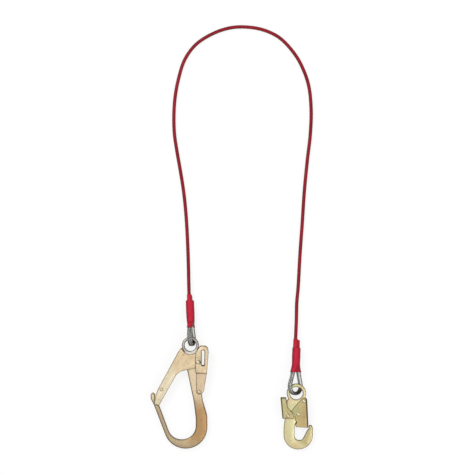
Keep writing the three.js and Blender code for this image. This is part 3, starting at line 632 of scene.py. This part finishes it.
def strand_eye(name):
    """Bare rope of six strands over a core, laid round the eye."""
    ferrule_from = ENDS[name]["ferrule_from"]
    coat_end = ferrule_from + COAT_OFFSET - GAP
    tail_end = ferrule_from + TAIL_OFFSET
    line = frames(eye_line(coat_end, tail_end, ferrule_from, STRAND_STEP))
    place = end_matrix(name)
    strand = ROPE_RADIUS * STRAND_SHARE
    reach = ROPE_RADIUS - strand
    vertices, faces = [], []
    for number in range(STRANDS + 1):
        is_core = number == STRANDS
        wide = 0 if is_core else reach
        thick = ROPE_RADIUS * CORE_SHARE if is_core else strand
        rings, distance = [], 0
        for i, (here, _, side, rise) in enumerate(line):
            if i:
                distance += (here - line[i - 1][0]).length
            turn = 2 * math.pi * (number / STRANDS + distance / LAY_LENGTH * STRAND_TURNS)
            middle = here + side * (wide * math.cos(turn)) + rise * (wide * math.sin(turn))
            ring = []
            for k in range(STRAND_SIDES):
                angle = turn + 2 * math.pi * k / STRAND_SIDES
                radius = thick * (1 + WIRE_RELIEF * math.cos(4 * angle + distance * WIRE_PITCH))
                out = side * (radius * math.cos(angle)) + rise * (radius * math.sin(angle))
                ring.append(place @ (middle + out))
            rings.append(ring)
        more, new = skin(rings)
        start = len(vertices)
        vertices += more
        faces += [tuple(start + v for v in face) for face in new]
    piece = mesh_piece(f"{name}_strands", vertices, faces, "strand")
    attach(piece, "lanyard")
    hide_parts(f"{name}_rope_eye")


def arc(radius, start, end, steps):
    """Points of an arc, with its angles from the inward side of the channel."""
    angles = [start + (end - start) * i / steps for i in range(steps + 1)]
    return [(radius * math.sin(a), radius * math.cos(a)) for a in angles]


def channel_section():
    """Outline of the thimble's channel: outer wall, a rolled lip, inner wall and the other lip."""
    inner = ROPE_RADIUS + GAP
    outer = inner + THIMBLE_WALL
    middle = (inner + outer) / 2
    lip_x = middle * math.sin(THIMBLE_WRAP)
    lip_y = middle * math.cos(THIMBLE_WRAP)
    lip = arc(THIMBLE_WALL / 2, THIMBLE_WRAP, THIMBLE_WRAP + math.pi, 6)[1:-1]
    section = arc(outer, -THIMBLE_WRAP, THIMBLE_WRAP, 26)
    section += [(lip_x + x, lip_y + y) for x, y in lip]
    section += arc(inner, THIMBLE_WRAP, -THIMBLE_WRAP, 20)
    section += [(-lip_x - x, lip_y + y) for x, y in reversed(lip)]
    return section


def thimble(name):
    """Pressed channel round the rope, with rolled lips and shallow dents."""
    ferrule_from = ENDS[name]["ferrule_from"]
    top = ferrule_from - THIMBLE_SHORT
    line = frames(eye_line(top, top, ferrule_from, THIMBLE_STEP))
    place = end_matrix(name)
    section = channel_section()
    rings = []
    for i, (here, _, side, rise) in enumerate(line):
        ring = []
        for k, (height, inward) in enumerate(section):
            wander = 1 + DENTS * noise.noise(Vector((i * 0.09, k * 0.25, len(name))))
            ring.append(place @ (here + rise * (height * wander) + side * (inward * wander)))
        rings.append(ring)
    piece = mesh_piece(f"{name}_thimble_channel", *skin(rings), "galvanised")
    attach(piece, "lanyard")
    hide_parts(f"{name}_thimble")


def sleeve_stations(name):
    """Sections of the sleeve's outside, each as height, shift, half width, half depth and corner radius."""
    ferrule_from = ENDS[name]["ferrule_from"]
    skin_depth = SLEEVE_GAP + SLEEVE_WALL
    pair_width = LEG_SPREAD + (ROPE_RADIUS + COAT_RADIUS) / 2 + skin_depth
    pair_shift = (ROPE_RADIUS - COAT_RADIUS) / 2
    over_coat = COAT_RADIUS + skin_depth
    barrel = FERRULE_RADIUS + skin_depth
    throat = ROPE_RADIUS + THIMBLE_WALL + skin_depth
    low = ferrule_from - SLEEVE_BELOW
    flare = low + 0.007
    shoulder = ferrule_from + FERRULE_LENGTH + ENDS[name]["shoulder"]
    top = ferrule_from + SLEEVE_ABOVE
    return [
        (low, 0, leg_reach(low, ferrule_from) + throat + 0.0002, throat + 0.0004, throat),
        (flare, 0, leg_reach(flare, ferrule_from) + throat + 0.0002, throat + 0.0003, throat),
        (ferrule_from - 0.002, 0, barrel - 0.0002, barrel - 0.0006, 0.006),
        (ferrule_from + 0.002, 0, barrel, barrel, barrel),
        (ferrule_from + 0.016, 0, barrel + 0.0003, barrel + 0.0003, barrel + 0.0003),
        (shoulder, 0, barrel + 0.0002, barrel + 0.0002, barrel + 0.0002),
        (shoulder + 0.0034, pair_shift, pair_width, over_coat + 0.0002, over_coat),
        (top - 0.0022, pair_shift, pair_width, over_coat, over_coat),
        (top - 0.0008, -LEG_SPREAD, over_coat + 0.0001, over_coat + 0.0001, over_coat),
        (top, -LEG_SPREAD, over_coat + 0.0001, over_coat + 0.0001, over_coat),
    ]


def sleeve(name):
    """Shrink sleeve over the legs, the ferrule and the dead end, with wrinkles and turned mouths."""
    place = end_matrix(name)
    stations = sleeve_stations(name)
    low = stations[0][0]
    top = stations[-1][0]

    def at(height):
        """The sleeve's section at a height, eased from one station to the next."""
        for a, b in zip(stations, stations[1:]):
            if height <= b[0]:
                share = (height - a[0]) / (b[0] - a[0])
                share = share * share * (3 - 2 * share)
                return [x + (y - x) * share for x, y in zip(a, b)]
        return list(stations[-1])

    def ring(height, inset):
        """Points round the sleeve at a height, set in from its outside, with fine folds."""
        _, x, width, depth, corner = at(height)
        corner = min(corner, width, depth) - inset
        width -= inset
        depth -= inset
        points = []
        for k in range(SLEEVE_SIDES):
            quarter, step = divmod(k, SLEEVE_SIDES // 4)
            sx, sy = ((1, -1), (1, 1), (-1, 1), (-1, -1))[quarter]
            angle = math.pi / 2 * (quarter - 1 + 4 * step / SLEEVE_SIDES)
            px = sx * (width - corner) + corner * math.cos(angle)
            py = sy * (depth - corner) + corner * math.sin(angle)
            fold = noise.noise(Vector((px * 260, height * 520, py * 260 + len(name) * 3)))
            fold += 0.6 * noise.noise(Vector((px * 500, height * 110, py * 500 + 7)))
            grow = 1 + WRINKLES * max(fold, -0.15)
            points.append(place @ Vector((x + px * grow, height, py * grow)))
        return points

    heights = [low + (top - low) * i / SLEEVE_STEPS for i in range(SLEEVE_STEPS + 1)]
    rings = [ring(h, 0) for h in heights]
    rings += [ring(top + MOUTH_ROUND, SLEEVE_WALL * share) for share in (0.35, 0.7)]
    rings += [ring(h, SLEEVE_WALL) for h in reversed(heights)]
    rings += [ring(low, SLEEVE_WALL * share) for share in (0.75, 0.3)]
    piece = mesh_piece(f"{name}_sleeve", *skin(rings, closed=True), "sleeve")
    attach(piece, "lanyard")
    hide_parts(f"{name}_shrink_sleeve")


for end in ENDS:
    strand_eye(end)
    thimble(end)
    sleeve(end)


# Pressed rims round the large lever's slot, in the hook's own axes: eye centre at the origin

HOOK_PLACE = (-0.08262, 0.05309)
HOOK_SLOPE = math.radians(2.6)
LEVER_FACE = 0.0091
LEVER_TOP = -0.001
SLOT_CORNERS = [(0.0222, -0.0405), (0.028, -0.0405), (0.0284, -0.009), (0.0222, -0.009)]
SLOT_ROUNDING = 0.0028
CORNER_STEPS = 8
RIM_HALF_WIDTH = 0.0007
RIM_OUTWARD = 0.6 * RIM_HALF_WIDTH
RIM_HEIGHT = 0.00022
RIM_SIDES = 12


def rounded_loop(corners, radius, outward):
    """Closed line round four corners, set outward from them, with an arc at each."""
    turns = (-135, -45, 45, 135)
    inward = ((1, 1), (-1, 1), (-1, -1), (1, -1))
    line = []
    for (x, y), turn, (sx, sy) in zip(corners, turns, inward):
        cx, cy = x + sx * radius, y + sy * radius
        for i in range(CORNER_STEPS + 1):
            angle = math.radians(turn - 45 + 90 * i / CORNER_STEPS)
            reach = radius + outward
            line.append((reach * math.cos(angle) + cx, reach * math.sin(angle) + cy))
    return line


def slot_rim(name, side):
    """Low bead round the slot, on the lever's upper face with side 1 and on its lower with -1."""
    lever_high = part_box("rebar_lock_lever")[1][2]
    lift = lever_high - LEVER_FACE * math.cos(HOOK_SLOPE) - LEVER_TOP * math.sin(HOOK_SLOPE)
    place = Matrix.Translation((*HOOK_PLACE, lift)) @ Matrix.Rotation(HOOK_SLOPE, 4, "X")
    outline = rounded_loop(SLOT_CORNERS, SLOT_ROUNDING, RIM_OUTWARD)
    loop = [Vector((x, y, side * LEVER_FACE)) for x, y in outline]
    rings = []
    for i, here in enumerate(loop):
        along = (loop[(i + 1) % len(loop)] - loop[i - 1]).normalized()
        across = along.cross(UP)
        ring = []
        for k in range(RIM_SIDES):
            angle = 2 * math.pi * k / RIM_SIDES
            out = across * (RIM_HALF_WIDTH * math.cos(angle)) + UP * (RIM_HEIGHT * math.sin(angle))
            ring.append(place @ (here + out))
        rings.append(ring)
    piece = mesh_piece(name, *skin(rings, closed=True), "rebar_lever")
    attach(piece, "rebar_lock")


slot_rim("rebar_slot_rim_upper", 1)
slot_rim("rebar_slot_rim_lower", -1)


# Finishes of the pieces that stay as they are built

# Distance at which points merge, angles from which edges are bevelled or stay sharp, and bevel width
WELD_REACH = 1e-6
BEVEL_FROM = math.radians(40)
SPLIT_FROM = math.radians(38)
SHEET_EDGE = 0.0003


def dress(node, finish, edge):
    """Material for a piece of the construction, with bevelled edges or else sharp ones that stay sharp."""
    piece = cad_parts[node]
    piece.data.materials.clear()
    piece.data.materials.append(FINISHES[finish])
    piece.data.shade_smooth()
    weld = piece.modifiers.new("weld", "WELD")
    weld.merge_threshold = WELD_REACH
    if edge:
        bevel = piece.modifiers.new("edge", "BEVEL")
        bevel.width = edge
        bevel.segments = 2
        bevel.limit_method = "ANGLE"
        bevel.angle_limit = BEVEL_FROM
        bevel.harden_normals = True
    else:
        split = piece.modifiers.new("split", "EDGE_SPLIT")
        split.split_angle = SPLIT_FROM


for node, finish, edge in (
    ("rebar_hook_body", "rebar_zinc", 0.0),
    ("rebar_gate", "rebar_sheet", SHEET_EDGE),
    ("rebar_lock_lever", "rebar_lever", SHEET_EDGE),
    ("rebar_gate_rivet", "rivet", 0.0),
    ("rebar_lever_rivet", "rivet", 0.0),
    ("rebar_gate_tip_rivet", "rivet", 0.0),
    ("rebar_gate_spring", "spring", 0.0),
    ("rebar_lever_spring", "spring", 0.0),
    ("rebar_ferrule", "copper", 0.0),
    ("snap_hook_body", "snap_zinc", 0.0),
    ("snap_gate", "snap_sheet", SHEET_EDGE),
    ("snap_lock_lever", "snap_sheet", SHEET_EDGE),
    ("snap_gate_rivet", "rivet", 0.0),
    ("snap_lock_rivet", "rivet", 0.0),
    ("snap_lock_pin", "rivet", 0.0),
    ("snap_gate_spring", "spring", 0.0),
    ("snap_lock_spring", "spring", 0.0),
    ("snap_ferrule", "copper", 0.0),
):
    dress(node, finish, edge)


# Floor and soft light

# Floor: share of it that shows as plain white, half its side and how far below the part it lies
FLOOR_GLOW = 0.82
FLOOR_REACH = 4
FLOOR_DROP = 0.0002
LAMP_TARGET = Vector((0, 0.25, 0))

# Sky: height above the horizon, as the sine of its angle, and brightness there
SKY = ((0.0, 0.3), (0.3, 0.4), (0.72, 0.82), (0.95, 1.0))


def floor():
    """White table, partly as bright as written, so that the shadows on it stay faint."""
    n = Nodes("floor")
    n.set(Base_Color=(0.95, 0.95, 0.95, 1), Roughness=0.9, Specular_IOR_Level=0.1)
    path = n.add("ShaderNodeLightPath")
    seen = path.outputs["Is Camera Ray"]
    for other in ("Is Glossy Ray", "Is Transmission Ray"):
        either = n.add("ShaderNodeMath", operation="MAXIMUM")
        n.link(seen, either.inputs[0])
        n.link(path.outputs[other], either.inputs[1])
        seen = either.outputs[0]
    white = n.add("ShaderNodeEmission")
    white.inputs["Strength"].default_value = 1.0
    both = n.add("ShaderNodeMixShader")
    n.link(n.remap(seen, 0, 1, 0, FLOOR_GLOW), both.inputs["Fac"])
    n.link(n.shader.outputs["BSDF"], both.inputs[1])
    n.link(white.outputs["Emission"], both.inputs[2])
    n.link(both.outputs["Shader"], n.tree.nodes["Material Output"].inputs["Surface"])
    corners = [(x * FLOOR_REACH, y * FLOOR_REACH, 0) for x, y in ((-1, -1), (1, -1), (1, 1), (-1, 1))]
    mesh = bpy.data.meshes.new("floor")
    mesh.from_pydata(corners, [], [(0, 1, 2, 3)])
    mesh.materials.append(n.material)
    plane = bpy.data.objects.new("floor", mesh)
    plane.location = (0, 0, -FLOOR_DROP)
    scene.collection.objects.link(plane)


def lamp(name, place, size, power):
    """Round soft lamp that points at the middle of the lanyard."""
    data = bpy.data.lights.new(name, "AREA")
    data.shape = "DISK"
    data.size = size
    data.energy = power
    lamp_object = bpy.data.objects.new(name, data)
    lamp_object.location = place
    lamp_object.rotation_euler = (LAMP_TARGET - Vector(place)).to_track_quat("-Z", "Y").to_euler()
    scene.collection.objects.link(lamp_object)


def room():
    """Soft light from above that falls off towards the horizon."""
    world = bpy.data.worlds.new("world")
    world.use_nodes = True
    tree = world.node_tree
    coordinates = tree.nodes.new("ShaderNodeTexCoord")
    split = tree.nodes.new("ShaderNodeSeparateXYZ")
    ramp = tree.nodes.new("ShaderNodeValToRGB")
    elements = ramp.color_ramp.elements
    elements.new(0.5)
    elements.new(0.5)
    for element, (position, level) in zip(elements, SKY):
        element.position = position
        element.color = (level, level, level, 1)
    tree.links.new(coordinates.outputs["Generated"], split.inputs["Vector"])
    tree.links.new(split.outputs["Z"], ramp.inputs["Fac"])
    tree.links.new(ramp.outputs["Color"], tree.nodes["Background"].inputs["Color"])
    tree.nodes["Background"].inputs["Strength"].default_value = 1.0
    scene.world = world


room()
floor()
lamp("key", (-1.3, 1.5, 2.2), 1.4, 30)
lamp("fill", (1.5, -0.8, 1.8), 1.6, 10)
